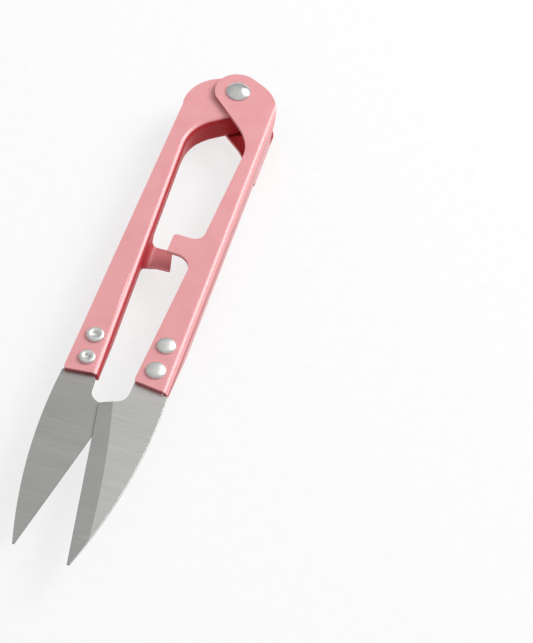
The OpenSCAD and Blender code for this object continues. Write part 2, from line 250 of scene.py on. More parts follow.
def cut(bm, values, axis):
    """Cuts a flat blank along lines of one coordinate."""
    normal = Vector((1, 0, 0)) if axis == 0 else Vector((0, 1, 0))
    for value in values:
        geometry = bm.verts[:] + bm.edges[:] + bm.faces[:]
        bmesh.ops.bisect_plane(bm, geom=geometry, dist=1e-6, plane_co=normal * value, plane_no=normal)


def flip_up(bm, height):
    """Turns the faces so that the plate at this height faces up."""
    bm.normal_update()
    plate = max((f for f in bm.faces if all(abs(v.co.z - height) < 1e-4 for v in f.verts)),
                key=lambda f: f.calc_area())
    if plate.normal.z < 0:
        bmesh.ops.reverse_faces(bm, faces=bm.faces)


def cylinder_cutter(x, y, radius, z0, z1):
    bm = bmesh.new()
    bmesh.ops.create_cone(bm, cap_ends=True, segments=48, radius1=radius, radius2=radius, depth=z1 - z0,
                          matrix=Matrix.Translation((x, y, (z0 + z1) / 2)))
    return new_object("cutter", bm)


def drill(obj, holes):
    """Cuts a round hole for each (x, y, radius, z0, z1)."""
    cutters = [cylinder_cutter(*hole) for hole in holes]
    for cutter in cutters:
        hole = obj.modifiers.new("hole", "BOOLEAN")
        hole.operation = "DIFFERENCE"
        hole.solver = "EXACT"
        hole.object = cutter
    apply_modifiers(obj)
    for cutter in cutters:
        bpy.data.objects.remove(cutter)


def thicken(obj, holes):
    """Gives a handle's outer surface its sheet thickness, inwards, and its holes."""
    solid = obj.modifiers.new("sheet", "SOLIDIFY")
    solid.thickness = SHEET * MM
    solid.offset = -1
    solid.use_even_offset = True
    drill(obj, holes)


# ---- right handle: one straight fold each side of the web ----
QUARTER = FOLD * math.pi / 2  # length of sheet round a fold
RIGHT_WEB = RIGHT_TOP - RIGHT_BACK - 2 * FOLD  # flat height of the right web
RIGHT_TOTAL = 2 * QUARTER + RIGHT_WEB  # sheet between the front plate and the back cheek
WEB_D = polar(1, WEB_LEAN - 90)
WEB_N = polar(1, 180 + WEB_LEAN)


def fold_coords(p):
    """(distance in from the web's outer face, distance down along it) of a plan point."""
    rel = p - vec(WEB_X, 0)
    return rel @ WEB_N, rel @ WEB_D


def on_blank(p, back=False):
    """Place of a plan point on the flat blank: (distance round the folds, distance down)."""
    q, t = fold_coords(p)
    s = FOLD - q if q >= FOLD else FOLD * math.asin(1 - max(q, 0) / FOLD)
    return vec(RIGHT_TOTAL - s if back else s, t)


def fold_right(s, t, relief_t):
    """Where a point of the flat blank lies on the folded sheet's outer surface."""
    lower = QUARTER + RIGHT_WEB
    if s <= 0:
        q, z = FOLD - s, RIGHT_TOP
    elif s <= QUARTER:
        a = s / FOLD
        q, z = FOLD - FOLD * math.sin(a), RIGHT_TOP - FOLD + FOLD * math.cos(a)
    elif s <= lower or t > relief_t:
        q, z = 0, RIGHT_TOP - FOLD - (s - QUARTER)
    elif s <= lower + QUARTER:
        a = (s - lower) / FOLD
        q, z = FOLD - FOLD * math.cos(a), RIGHT_BACK + FOLD - FOLD * math.sin(a)
    else:
        q, z = FOLD + s - lower - QUARTER, RIGHT_BACK
    p = vec(WEB_X, 0) + WEB_D * t + WEB_N * q
    return Vector((p[0], p[1], z))


def right_handle_surface():
    top = ear_and_shoulder(vec(0.45, -3.8), 7.4, 0)
    front = rounded(sharp(top) + [
        (web_at(HANDLE_LEN), end_y(web_at(HANDLE_LEN)), 0),
        (inner_x(HANDLE_LEN), end_y(inner_x(HANDLE_LEN)), 0.6),
        (inner_x(RIGHT_TAB_Y + TAB_W / 2), -RIGHT_TAB_Y - TAB_W / 2, 2.8),
        (-TAB_REACH, -RIGHT_TAB_Y - TAB_W / 2, 0.35),
        (-TAB_REACH, -RIGHT_TAB_Y + TAB_W / 2, 0.6),
        (inner_x(RIGHT_TAB_Y - TAB_W / 2), -RIGHT_TAB_Y + TAB_W / 2, 1.9),
        (WINDOW_CORNER[0], WINDOW_CORNER[1], WINDOW_R)])[len(top):]
    back = rounded(sharp(top) + [
        (web_at(CHEEK_LEN), -CHEEK_LEN, 0),
        (inner_x(CHEEK_LEN), -CHEEK_LEN, 0.8),
        (*(WINDOW_CORNER - SLOPE_N * 0.7), WINDOW_R)])[len(top) + 1:]
    kept = [p for p in top if fold_coords(p)[1] < WEB_TOP - 0.1]
    shoulder = on_blank(kept[-1])
    web_start = shoulder + vec(0.05, 0.25)
    slot_t = WEB_TOP + WEB_SLANT
    slot_edge = [
        (RIGHT_BACK + 2.2, slot_t, 0.6),
        (RIGHT_BACK + 1.6, slot_t - 1, 0.3),
        (RIGHT_BACK + 1.4, WEB_TOP + 0.6, 0.3)]
    slot = [(QUARTER + RIGHT_TOP - FOLD - z, t, radius) for z, t, radius in slot_edge]
    slot = rounded([(*web_start, 0)] + slot + [(RIGHT_TOTAL - web_start[0], web_start[1], 0)])
    cheek_t = fold_coords(vec(web_at(CHEEK_LEN), -CHEEK_LEN))[1]
    relief_t = cheek_t + RELIEF
    relief_s = QUARTER + RIGHT_WEB - 0.3
    web_low_s = QUARTER + RIGHT_TOP - FOLD - WEB_LOW
    web_end_s = QUARTER + RIGHT_TOP - FOLD - WEB_END
    end_t = fold_coords(front[0])[1]
    bend_t = fold_coords(vec(web_at(HANDLE_LEN) - FOLD, end_y(web_at(HANDLE_LEN) - FOLD)))[1]
    web_edge = rounded([
        (relief_s, cheek_t - 1, 0), (relief_s, cheek_t, 0), (relief_s, relief_t, 0),
        (web_low_s, relief_t, 0.6), (web_low_s, WEB_DEEP_TO, 6), (web_end_s, end_t, 0.3),
        (QUARTER, end_t, 0)])[1:]
    blank = [on_blank(p) for p in kept] + slot
    blank += [on_blank(p, back=True) for p in reversed(kept)]
    blank += [on_blank(p, back=True) for p in reversed(back)]
    blank += web_edge + [vec(0, bend_t)] + [on_blank(p) for p in front[1:]]
    bm = bmesh.new()
    fill(bm, blank, lambda p: (p[0], p[1], 0))
    bends = [QUARTER * i / FOLD_STEPS for i in range(FOLD_STEPS + 1)]
    cut(bm, bends + [QUARTER + RIGHT_WEB + b for b in bends], axis=0)
    for v in bm.verts:
        v.co = fold_right(v.co.x, v.co.y, (cheek_t + relief_t) / 2)
    flip_up(bm, RIGHT_TOP)
    return new_object("right_handle_sheet", bm)


# ---- left handle: a wall along the window's edge, drawn mirrored ----
LEFT_WALL = LEFT_TOP - LEFT_BACK - 2 * FOLD
LEFT_TOTAL = 2 * QUARTER + LEFT_WALL
CORNER_LEN = WINDOW_R * math.radians(90 - LEFT_SLOPE + INNER_LEAN)
CORNER_STEPS = 16


def edge_path(along):
    """(point, direction into the sheet) on the window's edge; 0 is where the round corner starts."""
    if along <= 0:
        return LEFT_END + LEFT_D * along, -LEFT_N
    if along <= CORNER_LEN:
        out = polar(1, heading(-LEFT_N) - math.degrees(along / WINDOW_R))
        return WINDOW_MID + out * WINDOW_R, out
    return WINDOW_END + INNER_D * (along - CORNER_LEN), polar(1, -INNER_LEAN)


def along_at(depth):
    """Distance along the window's edge of its point so far below the pivot."""
    if depth <= -LEFT_END[1]:
        return (depth + LEFT_END[1]) / -LEFT_D[1]
    if depth <= -WINDOW_END[1]:
        angle = math.asin((-depth - WINDOW_MID[1]) / WINDOW_R)
        return WINDOW_R * (math.radians(heading(-LEFT_N)) - angle)
    return CORNER_LEN + (depth + WINDOW_END[1]) / math.cos(math.radians(INNER_LEAN))


def wall_s(z):
    """Distance round the folds of a height on the left wall."""
    bend = LEFT_BACK + FOLD
    if z >= bend:
        return QUARTER + LEFT_TOP - FOLD - z
    return QUARTER + LEFT_WALL + FOLD * math.asin((bend - z) / FOLD)


def fold_left(s, along):
    """Where a point of the left wall's blank lies, on the mirrored handle's outer surface."""
    tab_side = along > along_at(25)
    lower = QUARTER + LEFT_WALL
    beyond = abs(along - along_at(LEFT_TAB_Y)) - TAB_W / 2
    share = min(1, max(0, beyond / TAB_SPREAD))
    bend = TAB_BEND - share * (TAB_Z + SHEET + TAB_BEND - WALL_LOW)  # none left past the spread
    tab_z = TAB_Z + SHEET + bend
    tab_s = wall_s(tab_z)
    if s <= QUARTER:
        a = s / FOLD
        q, z = FOLD - FOLD * math.sin(a), LEFT_TOP - FOLD + FOLD * math.cos(a)
    elif tab_side and s > tab_s:
        a = min((s - tab_s) / bend, math.pi / 2)
        flat = max(0, s - tab_s - bend * math.pi / 2)
        q, z = -bend + bend * math.cos(a) - flat, tab_z - bend * math.sin(a)
    elif tab_side or s <= lower:
        q, z = 0, LEFT_TOP - FOLD - (s - QUARTER)
    else:
        a = (s - lower) / FOLD
        q, z = FOLD - FOLD * math.cos(a), LEFT_BACK + FOLD - FOLD * math.sin(a)
    point, inward = edge_path(along)
    p = point + inward * q
    return Vector((p[0], p[1], z))


def wall_point(depth, z):
    return wall_s(z), along_at(depth)


def left_tab_edge():
    """The wall's lower edge from the handle's end up to the window's corner, round the tab."""
    plain = wall_s(WALL_LOW)
    flat_s = wall_s(TAB_Z + SHEET + TAB_BEND) + TAB_BEND * (math.pi / 2 - 1)
    tab_top = LEFT_TAB_Y - TAB_W / 2
    tab_low = LEFT_TAB_Y + TAB_W / 2
    tip_low = flat_s + inner_x(tab_low) + TAB_REACH
    tip_top = flat_s + inner_x(tab_top) - 0.4
    cheek, step, slant, even = (wall_point(*p) for p in WALL_EDGE)
    return rounded([
        (plain, along_at(tab_low + 9), 0),
        (plain, along_at(tab_low), 2.5), (tip_low, along_at(tab_low), 0.3),
        (tip_top, along_at(tab_top), 0.3), (plain, along_at(tab_top), 0.8),
        (*even, 3), (*slant, 3), (*step, 0.4), (*cheek, 0)])[1:]


def left_handle_surface():
    top = ear_and_shoulder(vec(0.95, -4.5), 7.65, -2)
    outer = rounded(sharp(top) + [
        (8.45, -5.6, 1),
        (8.85, end_y(8.85) - 0.3, 0.5),
        (inner_x(HANDLE_LEN), end_y(inner_x(HANDLE_LEN)) - 0.3, 0)])
    plate_end = outer.pop()
    end_along = CORNER_LEN + (plate_end - WINDOW_END) @ INNER_D
    cheek_along = along_at(LEFT_CHEEK_LEN)
    stations = sorted([CORNER_LEN * i / CORNER_STEPS for i in range(CORNER_STEPS + 1)] + [cheek_along])
    wall_top = [-WALL_FROM] + stations + [end_along]
    notch = -WALL_FROM - RELIEF
    ear_side = LEFT_END - LEFT_D * 6.5

    def plan(along, q):
        point, inward = edge_path(along)
        return point + inward * q

    bm = bmesh.new()
    bend = [plan(a, FOLD) for a in reversed(wall_top)]
    front = outer + bend + [plan(notch, FOLD), plan(notch, 0), ear_side]
    fill(bm, front, lambda p: (p[0], p[1], LEFT_TOP))
    cheek = rounded(sharp(arc(vec(0, 0), EAR_R, 270 - EAR_SLOPE, 15, 34)) + [
        (7.2, -5.6, 2), (6.9, -LEFT_CHEEK_LEN, 1.5), (*plan(cheek_along, FOLD), 0)])[:-1]
    bend = [plan(a, FOLD) for a in reversed(wall_top) if a <= cheek_along + 1e-9]
    fill(bm, cheek + bend + [plan(notch, FOLD), plan(notch, 0), ear_side], lambda p: (p[0], p[1], LEFT_BACK))

    strip = bmesh.new()
    edge = [vec(wall_s(WALL_LOW + WALL_RISE), end_along), vec(*wall_point(WALL_EVEN_TO, WALL_LOW))]
    blank = edge + left_tab_edge() + [vec(LEFT_TOTAL, -WALL_FROM), vec(0, -WALL_FROM), vec(0, end_along)]
    fill(strip, blank, lambda p: (p[0], p[1], 0))
    bends = [QUARTER * i / FOLD_STEPS for i in range(FOLD_STEPS + 1)]
    tab_s = wall_s(TAB_Z + SHEET + TAB_BEND)
    tab_bends = [tab_s + TAB_BEND * math.pi / 2 * i / 12 for i in range(13)]
    cut(strip, bends + [QUARTER + LEFT_WALL + b for b in bends[:-1]] + tab_bends, axis=0)
    beside_tab = [along_at(LEFT_TAB_Y) + side * (TAB_W / 2 + TAB_SPREAD * i / 6)
                  for i in range(7) for side in (-1, 1)]
    cut(strip, stations + beside_tab, axis=1)
    for v in strip.verts:
        v.co = fold_left(v.co.x, v.co.y)
    scratch = bpy.data.meshes.new("strip")
    strip.to_mesh(scratch)
    strip.free()
    bm.from_mesh(scratch)
    bpy.data.meshes.remove(scratch)
    bmesh.ops.remove_doubles(bm, verts=bm.verts, dist=1e-4)
    bmesh.ops.recalc_face_normals(bm, faces=bm.faces)
    flip_up(bm, LEFT_TOP)
    mirror(bm)
    return new_object("left_handle_sheet", bm)


def mirror(bm):
    for v in bm.verts:
        v.co.x = -v.co.x
    bmesh.ops.reverse_faces(bm, faces=bm.faces)


# ---- blades ----
BLADE_REACH = 103.2
RIGHT_SLANT = 10  # degrees between the cutting edge and the middle line
LEFT_SLANT = 11.1
LEFT_TRIM = 1  # how much shorter the left blade is
LEFT_NECK_IN = 0.36  # how far outside the handle's inner edge the left throat starts
HEEL = (-1.2, -72)  # where the right cutting edge starts
LEFT_IN = 0.1  # how much less far the left heel reaches across
LEFT_DROP = 0.5  # how much further down the left heel is
BLADE_X = 9.2
BACK_R = 105
WIDEST_Y = 73
TANG_LEN = 11.3  # hidden under the handle
TANG_TOP = HANDLE_LEN - TANG_LEN
NECK_Y = HANDLE_LEN + 0.3
KEEN = 0.24  # thickness left at the cutting edge
EDGE_ROUND = 0.11
SIDE_NORMAL = 0.93  # faces whose normals are less upright than this are the blade's sides
BEVEL_START = 2.3  # width of the ground bevel at the heel
BEVEL_END = 2.67
BEVEL_BOW = 0.5
BEVEL_LEN = 26.8  # from the heel to where the bevel reaches the blade's back
BEVEL_STEPS = 24


def blade_outline(tang, neck, heel, tip):
    back_mid = vec(BLADE_X - BACK_R, -WIDEST_Y)
    first = math.degrees(math.asin((WIDEST_Y - NECK_Y - 0.2) / BACK_R))
    last = -math.degrees(math.asin((-tip[1] - WIDEST_Y) / BACK_R))
    return rounded([
        (tang[0][0], -TANG_TOP, 0.8), (tang[0][1], -TANG_TOP, 0.8),
        (tang[1][1], -NECK_Y, 0.1), (tang[1][1] + 0.3, -NECK_Y - 0.1, 0.1),
        *sharp(arc(back_mid, BACK_R, first, last, 48)),
        (*tip, 0.12), (*heel, 0.45), (3.05, heel[1] + 1.3, 2.4), (neck, -NECK_Y - 0.1, 0.5),
        (tang[1][0], -NECK_Y + 0.6, 0)])


class Bevel:
    """The ground bevel: how wide it is at each distance along the cutting edge."""

    def __init__(self, heel, tip):
        self.heel = heel
        self.along = unit(tip - heel)
        self.inward = vec(-self.along[1], self.along[0])

    def station(self, p):
        return (p - self.heel) @ self.along, (p - self.heel) @ self.inward

    def width(self, t):
        share = max(0, t / BEVEL_LEN)
        return BEVEL_START + (BEVEL_END - BEVEL_START) * share + 4 * BEVEL_BOW * share * (1 - share)

    def outside(self, p):
        """How far a point is past the bevel, on the flat of the blade; below 0 on the bevel."""
        t, d = self.station(p)
        return -1 if t > BEVEL_LEN else d - self.width(t)

    def line(self, t):
        return self.heel + self.along * t + self.inward * self.width(t)

    def crossing(self, a, b):
        for _ in range(40):
            middle = (a + b) / 2
            if (self.outside(a) > 0) == (self.outside(middle) > 0):
                a = middle
            else:
                b = middle
        return (a + b) / 2

    def thickness(self, p):
        t, d = self.station(p)
        return KEEN + (SHEET - KEEN) * min(max(d / self.width(t), 0), 1)


def blade_polygons(outline, bevel):
    """The flat and the ground part of the outline, which share the points of the bevel's line."""
    flat, ground, ends = [], [], []
    for a, b in zip(outline, outline[1:] + outline[:1]):
        (flat if bevel.outside(a) > 0 else ground).append(a)
        if (bevel.outside(a) > 0) != (bevel.outside(b) > 0):
            ends.append((bevel.crossing(a, b), len(flat), len(ground)))
    (into, flat_at, _), (out, _, _) = ends
    first, last = bevel.station(into)[0], bevel.station(out)[0]
    line = [into] + [bevel.line(t) for t in np.linspace(first, last, BEVEL_STEPS + 1)[1:-1]] + [out]
    return flat[:flat_at] + line + flat[flat_at:], ground + line[::-1]


def blade(name, tang, neck, slant, reach, top_z, rivets, left=False):
    """A blade with a ground bevel along one edge; the left one is mirrored, with its bevel below."""
    heel = vec(HEEL[0] + left * LEFT_IN, HEEL[1] - left * LEFT_DROP)
    tip = vec(heel[0] + tan(slant) * (reach + heel[1]), -reach)
    bevel = Bevel(heel, tip)
    outline = blade_outline(tang, neck, heel, tip)
    flat, ground = blade_polygons(outline, bevel)
    bm = bmesh.new()
    fill(bm, flat, lambda p: (p[0], p[1], 0))
    fill(bm, ground, lambda p: (p[0], p[1], 0))
    bmesh.ops.remove_doubles(bm, verts=bm.verts, dist=1e-5)
    min(bm.faces, key=lambda f: f.calc_area()).material_index = 1
    length = np.linalg.norm(tip - heel)
    for t in np.linspace(0.3, length - 0.3, BEVEL_STEPS):
        faces = [f for f in bm.faces if f.material_index == 1]
        geometry = list({v for f in faces for v in f.verts} | {e for f in faces for e in f.edges}) + faces
        at = heel + bevel.along * t
        bmesh.ops.bisect_plane(bm, geom=geometry, dist=1e-5, plane_co=(*at, 0), plane_no=(*bevel.along, 0))
    bm.normal_update()
    for f in bm.faces:
        if f.normal.z < 0:
            f.normal_flip()
    rim = [e.link_loops[0] for e in bm.edges if len(e.link_faces) == 1]
    rim = {loop.vert: loop.link_loop_next.vert for loop in rim}
    base = {v: bm.verts.new((v.co.x, v.co.y, -SHEET)) for v in rim}
    for v, after in rim.items():
        bm.faces.new([after, v, base[v], base[after]])
    ring = [next(iter(rim))]
    while rim[ring[-1]] is not ring[0]:
        ring.append(rim[ring[-1]])
    bm.faces.new([base[v] for v in reversed(ring)])
    for v in bm.verts:
        if v.co.z > -SHEET / 2:
            v.co.z = bevel.thickness(vec(*v.co[:2])) - SHEET
    if left:
        for v in bm.verts:
            v.co.z = -SHEET - v.co.z
        bmesh.ops.reverse_faces(bm, faces=bm.faces)
        mirror(bm)
    bmesh.ops.translate(bm, vec=(0, 0, top_z), verts=bm.verts)
    obj = new_object(name, bm)
    drill(obj, [(x, y, RIVET_R, top_z - 2, top_z + 1) for x, y in rivets])
    mark_bevel_line(obj)
    soften_edges(obj, EDGE_ROUND, segments=2, angle=30, keep_sharp=True)
    apply_modifiers(obj)
    # the sides get the painted-shade steel, except the right blade's sides that face the key
    for face in obj.data.polygons:
        if abs(face.normal.z) < SIDE_NORMAL and (left or face.normal.x < 0.3):
            face.material_index = 2
    return obj


def mark_bevel_line(obj):
    """Marks the edges between the flat and the bevel sharp, so that each keeps its own normals."""
    bm = bmesh.new()
    bm.from_mesh(obj.data)
    for edge in bm.edges:
        if len(edge.link_faces) == 2:
            a, b = edge.link_faces
            edge.smooth = a.material_index == b.material_index or a.normal.angle(b.normal) > 0.6
    bm.to_mesh(obj.data)
    bm.free()


# ---- rivets, spacer and spring ----
RIVET_R = 0.8
PIVOT_R = 1.25


def centre_of(node):
    a, b = low(node), high(node)
    return (a[0] + b[0]) / 2, (a[1] + b[1]) / 2


def turned(name, profile, x, y, upside_down=False, segments=96, wobble=None):
    """A piece turned about a vertical axis through (x, y), from (radius, height) points, bottom first."""
    bm = bmesh.new()
    rings = []
    for radius, z in profile:
        if radius < 1e-6:
            rings.append([bm.verts.new((0, 0, z))])
            continue
        ring = []
        for i in range(segments):
            a = 2 * math.pi * i / segments
            r, h = (radius, z) if wobble is None else wobble(radius, z, a)
            ring.append(bm.verts.new((r * math.cos(a), r * math.sin(a), h)))
        rings.append(ring)
    for low_ring, top_ring in zip(rings, rings[1:]):
        for i in range(segments):
            j = (i + 1) % segments
            if len(low_ring) == 1:
                bm.faces.new([low_ring[0], top_ring[j], top_ring[i]])
            elif len(top_ring) == 1:
                bm.faces.new([low_ring[i], low_ring[j], top_ring[0]])
            else:
                bm.faces.new([low_ring[i], low_ring[j], top_ring[j], top_ring[i]])
    if upside_down:
        for v in bm.verts:
            v.co.z = -v.co.z
        bmesh.ops.reverse_faces(bm, faces=bm.faces)
    bmesh.ops.translate(bm, vec=(x, y, 0), verts=bm.verts)
    return new_object(name, bm)


def dome(radius, height, z, rim=0.16):
    """Profile of a head that sits at height z: a rounded rim, then a ball cap to the axis."""
    rise = height - rim
    ball = (radius * radius + rise * rise) / (2 * rise)
    edge = math.degrees(math.asin(min(1, (radius - 0.06) / ball)))
    points = [(radius - 0.22, z), (radius - 0.05, z + 0.015), (radius, z + 0.07)]
    points.append((radius - 0.01, z + rim - 0.02))
    for i in range(15):
        a = math.radians(edge * (1 - i / 14))
        points.append((ball * math.sin(a), z + height - ball + ball * math.cos(a)))
    points[-1] = (0, points[-1][1])
    return points


def button(radius, height, z, squareness=2.4):
    """Profile of a flatter head: a superellipse from the rim to the axis."""
    points = [(radius - 0.2, z)]
    for i in range(25):
        a = math.radians(90 * i / 24)
        x, y = math.cos(a) ** (2 / squareness), math.sin(a) ** (2 / squareness)
        points.append((radius * x if i < 24 else 0, z + height * y))
    return points


def pivot_rivet():
    tail = 0.5
    profile = [(0, 0), (1.6, 0), (1.85, 0.04), (1.97, 0.14), (2.0, 0.28), (2.0, tail), (PIVOT_R, tail)]
    profile += [(PIVOT_R, RIGHT_TOP)] + dome(2.2, 1.05, RIGHT_TOP)
    return turned("pivot_rivet_turned", profile, 0, 0)


def blade_rivet(node, head_z, up):
    """A semi-tubular rivet: a dome on one side and a rolled, dimpled tail on the other."""
    x, y = centre_of(node)
    span = high(node)[0] - low(node)[0]
    head_r = span / 2
    grip = 2 * SHEET
    tail_r = TAIL_R[node]
    roll = tail_r * 0.29
    roll_h = 0.55
    dimple_r = tail_r * 0.42
    profile = [(0, -0.12), (dimple_r * 0.5, -0.13), (dimple_r * 0.85, -0.2)]
    for i in range(13):
        a = math.radians(180 - 15 * i)
        reach = roll + (0.22 if i < 6 else 0)
        profile.append((tail_r - roll + reach * math.cos(a), -roll_h + roll - roll * math.sin(a)))
    profile += [(tail_r, -0.06), (tail_r - 0.08, 0), (RIVET_R, 0), (RIVET_R, grip)]
    profile += button(head_r, 0.75, grip)
    seed = sum(ord(c) for c in node)

    def wobble(radius, z, a):
        """The rolled tail's hand-set unevenness."""
        if z > -0.01:
            return radius, z
        waves = math.sin(3 * a + seed) * 0.5 + math.sin(5 * a + 2 * seed) * 0.3 + math.sin(9 * a + seed) * 0.2
        inner = max(0, 1 - radius / (tail_r * 0.75))
        return radius * (1 + 0.012 * waves), z - 0.16 * waves * inner * radius / tail_r

    obj = turned(node + "_turned", profile, x, y, upside_down=not up, wobble=wobble)
    obj.data.transform(Matrix.Translation((0, 0, head_z * MM)))
    return obj


TAIL_R = {
    "right_upper_rivet": 1.5,
    "right_lower_rivet": 1.5,
    "left_upper_rivet": 1.54,
    "left_lower_rivet": 1.42,
}


def pivot_spacer():
    a, b = low("pivot_spacer"), high("pivot_spacer")
    outer, bore, chamfer = b[0], PIVOT_R + 0.02, 0.1
    profile = [
        (bore, a[2] + chamfer), (bore + chamfer, a[2]),
        (outer - chamfer, a[2]), (outer, a[2] + chamfer),
        (outer, b[2] - chamfer), (outer - chamfer, b[2]),
        (bore + chamfer, b[2]), (bore, b[2] - chamfer),
        (bore, a[2] + chamfer)]
    return turned("pivot_spacer_tube", profile, 0, 0)


WIRE_D = 0.7
COIL_R = 2.5
HOOK = vec(-5.1, -7.1)


def pivot_spring():
    """A round-wire torsion spring: a straight leg each side of a closed coil, and a hook at one end."""
    rest = vec(web_at(10) - SHEET - WIRE_D / 2 - 0.03, -10)
    low_z = LEFT_BACK + SHEET + WIRE_D / 2 + 0.06
    high_z = LEFT_TOP - SHEET - WIRE_D / 2 - 0.08
    hook_r = 0.6
    first = math.radians(heading(rest)) + math.acos(COIL_R / np.linalg.norm(rest))
    last = math.radians(heading(HOOK)) + 6 * math.pi - math.acos(COIL_R / np.linalg.norm(HOOK))
    path = [Vector((*rest, high_z))]
    steps = 150
    for i in range(steps + 1):
        a = first + (last - first) * i / steps
        z = high_z + (low_z - high_z) * i / steps
        path.append(Vector((COIL_R * math.cos(a), COIL_R * math.sin(a), z)))
    leg = unit(HOOK - vec(COIL_R * math.cos(last), COIL_R * math.sin(last)))
    for i in range(9):
        b = math.pi / 2 * i / 8
        p = HOOK + leg * hook_r * (math.sin(b) - 1)
        path.append(Vector((*p, low_z - hook_r * (1 - math.cos(b)))))
    path.append(Vector((*HOOK, LEFT_BACK + 0.1)))
    bm = bmesh.new()
    sides = 20
    rings = []
    across = Vector((0, 0, 1))
    for i, p in enumerate(path):
        ahead = (path[min(i + 1, len(path) - 1)] - path[max(i - 1, 0)]).normalized()
        across = (across - ahead * across.dot(ahead)).normalized()
        other = ahead.cross(across)
        ring = []
        for k in range(sides):
            a = 2 * math.pi * k / sides
            ring.append(bm.verts.new(p + (across * math.cos(a) + other * math.sin(a)) * WIRE_D / 2))
        rings.append(ring)
    for ring, after in zip(rings, rings[1:]):
        for k in range(sides):
            j = (k + 1) % sides
            bm.faces.new([ring[k], ring[j], after[j], after[k]])
    bm.faces.new(list(reversed(rings[0])))
    bm.faces.new(rings[-1])
    bmesh.ops.recalc_face_normals(bm, faces=bm.faces)
    obj = new_object("pivot_spring_wire", bm)
    soften_edges(obj, 0.08, segments=2, angle=50)
    return obj


# ---- materials ----
def material(name):
    mat = bpy.data.materials.new(name)
    mat.use_nodes = True
    tree = mat.node_tree
    shader = tree.nodes["Principled BSDF"]
    coords = tree.nodes.new("ShaderNodeTexCoord").outputs["Object"]
    return mat, tree, shader, coords


def noise(tree, coords, scale, stretch=(1, 1, 1), detail=4, turn=0, rough=0.5):
    """Noise with features of about 1/scale metres, stretched along an axis by a small factor."""
    mapping = tree.nodes.new("ShaderNodeMapping")
    mapping.inputs["Scale"].default_value = stretch
    mapping.inputs["Rotation"].default_value = (0, 0, math.radians(turn))
    tree.links.new(coords, mapping.inputs["Vector"])
    node = tree.nodes.new("ShaderNodeTexNoise")
    node.inputs["Scale"].default_value = scale
    node.inputs["Detail"].default_value = detail
    node.inputs["Roughness"].default_value = rough
    tree.links.new(mapping.outputs["Vector"], node.inputs["Vector"])
    return node.outputs["Fac"]


def spread(tree, value, low_out, high_out, low_in=0.3, high_in=0.7):
    node = tree.nodes.new("ShaderNodeMapRange")
    inputs = {"From Min": low_in, "From Max": high_in, "To Min": low_out, "To Max": high_out}
    for name, number in inputs.items():
        node.inputs[name].default_value = number
    tree.links.new(value, node.inputs["Value"])
    return node.outputs["Result"]


def blend_colour(tree, factor, a, b):
    """Colour a where the factor is 0 and b where it is 1; each is a colour or another node's output."""
    node = tree.nodes.new("ShaderNodeMix")
    node.data_type = "RGBA"
    tree.links.new(factor, node.inputs["Factor"])
    for colour, socket in ((a, node.inputs[6]), (b, node.inputs[7])):
        if isinstance(colour, tuple):
            socket.default_value = (*colour, 1)
        else:
            tree.links.new(colour, socket)
    return node.outputs[2]


def bump(tree, shader, height, distance, strength=1.0):
    """Adds a bump of so many mm to the shader, on top of any that is there."""
    node = tree.nodes.new("ShaderNodeBump")
    node.inputs["Strength"].default_value = strength
    node.inputs["Distance"].default_value = distance * MM
    tree.links.new(height, node.inputs["Height"])
    if shader.inputs["Normal"].is_linked:
        tree.links.new(shader.inputs["Normal"].links[0].from_socket, node.inputs["Normal"])
    tree.links.new(node.outputs["Normal"], shader.inputs["Normal"])


def enamel():
    """Pink stove enamel: faint mottling and orange peel, with painted shade: a deeper red, with less coat and
    sheen, inside the folds and on the stamped edges, where shade falls.
    """
    mat, tree, shader, coords = material("pink_enamel")
    cloud = noise(tree, coords, 260, detail=5)
    fine = noise(tree, coords, 2600, detail=3)
    pink = blend_colour(tree, spread(tree, cloud, 0, 1), (0.775, 0.330, 0.345), (0.815, 0.365, 0.380))
    # painted shade inside the folds and on the edges, read from a mesh attribute: the deep red below darkens
    # the pink there
    fold_shade = tree.nodes.new("ShaderNodeAttribute")
    fold_shade.attribute_name = "fold_shade"  # 1 deep inside the folds, 0 outside
    colour = blend_colour(tree, fold_shade.outputs["Fac"], pink, (0.42, 0.030, 0.036))
    tree.links.new(colour, shader.inputs["Base Color"])
    tree.links.new(spread(tree, cloud, 0.30, 0.42), shader.inputs["Roughness"])
    # the painted shade also takes away coat and specular, so that it stays dark
    tree.links.new(spread(tree, fold_shade.outputs["Fac"], 0.45, 0, 0, 1), shader.inputs["Coat Weight"])
    tree.links.new(spread(tree, fold_shade.outputs["Fac"], 0.3, 0.1, 0, 1), shader.inputs["Specular IOR Level"])
    shader.inputs["Coat Roughness"].default_value = 0.2
    bump(tree, shader, fine, 0.0008)
    bump(tree, shader, noise(tree, coords, 700, detail=2), 0.002)
    return mat


def ground_steel(name, dark, light, turn, rough):
    """Satin steel with fine grinding marks across the blade and a few deeper ones."""
    mat, tree, shader, coords = material(name)
    fine = noise(tree, coords, 900, stretch=(0.06, 5, 1), turn=turn, detail=6, rough=0.7)
    broad = noise(tree, coords, 160, stretch=(0.3, 1.4, 1), turn=turn, detail=3)
    both = tree.nodes.new("ShaderNodeMath")
    both.operation = "ADD"
    tree.links.new(spread(tree, fine, 0, 0.55), both.inputs[0])
    tree.links.new(spread(tree, broad, 0, 0.45), both.inputs[1])
    tree.links.new(blend_colour(tree, both.outputs[0], dark, light), shader.inputs["Base Color"])
    tree.links.new(spread(tree, fine, rough - 0.05, rough + 0.07), shader.inputs["Roughness"])
    shader.inputs["Metallic"].default_value = 1
    bump(tree, shader, fine, 0.004)
    return mat


